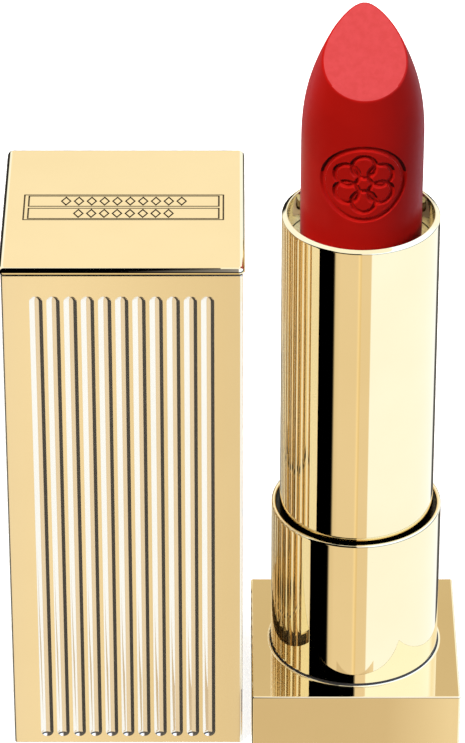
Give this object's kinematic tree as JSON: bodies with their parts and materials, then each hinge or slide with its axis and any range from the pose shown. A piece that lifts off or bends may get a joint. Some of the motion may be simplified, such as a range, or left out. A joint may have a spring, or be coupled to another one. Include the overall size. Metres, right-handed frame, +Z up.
{
  "type": "lipstick case",
  "caption": "Twist-up lipstick case in polished gold metal, with a square base, a round tube and a loose square cap with fluted sides.",
  "frame": {"origin": "on the lipstick's axis, at the underside of its base", "axes": "+Z up along the lipstick's axis, +X to the right with the cap standing at -X, -Y towards the bullet's slanted face"},
  "size_m": [0.0464, 0.0241, 0.0807],
  "materials": {
    "gold_metal": "polished, anodised pale gold",
    "inner_gold": "satin, anodised gold",
    "cream_plastic": "moulded, lightly greased",
    "black_plastic": "moulded, fine matt",
    "weight_steel": "plain stamped",
    "silicone": "soft matt",
    "blank_label": "blank paper-faced film",
    "lipstick_red": "satin wax"
  },
  "bodies": {
    "base": {"base_shell": "gold_metal", "base_insert": "cream_plastic", "base_weight": "weight_steel", "bottom_plate": "black_plastic", "bottom_label": "blank_label", "collar": "gold_metal", "bearing_bush": "black_plastic", "guide_tube": "cream_plastic", "brake_ring": "silicone", "cam_retainer": "inner_gold"},
    "tube": {"tube_shell": "gold_metal", "cam_tube": "cream_plastic"},
    "carrier": {"carrier_cup": "inner_gold", "bullet": "lipstick_red"},
    "cap": {"cap_shell": "gold_metal", "cap_top_plate": "gold_metal", "cap_liner": "black_plastic", "cap_weight": "weight_steel", "cap_grip_ring": "silicone"}
  },
  "joints": [
    {"name": "twist", "type": "hinge", "parent": "base", "child": "tube", "pos_m": [0, 0, 0], "axis": [0, 0, 1], "range_deg": [0, 540]},
    {"name": "carrier_climb", "type": "slide", "parent": "base", "child": "carrier", "axis": [0, 0, 1], "range_m": [-0.02401, 0]},
    {"name": "cap_lift", "type": "slide", "parent": "base", "child": "cap", "axis": [0, 0, 1], "range_m": [0, 0.085]}
  ],
  "couplings": [
    {"joint": "carrier_climb", "follows": "twist", "m_per_rad": -0.0025465}
  ]
}
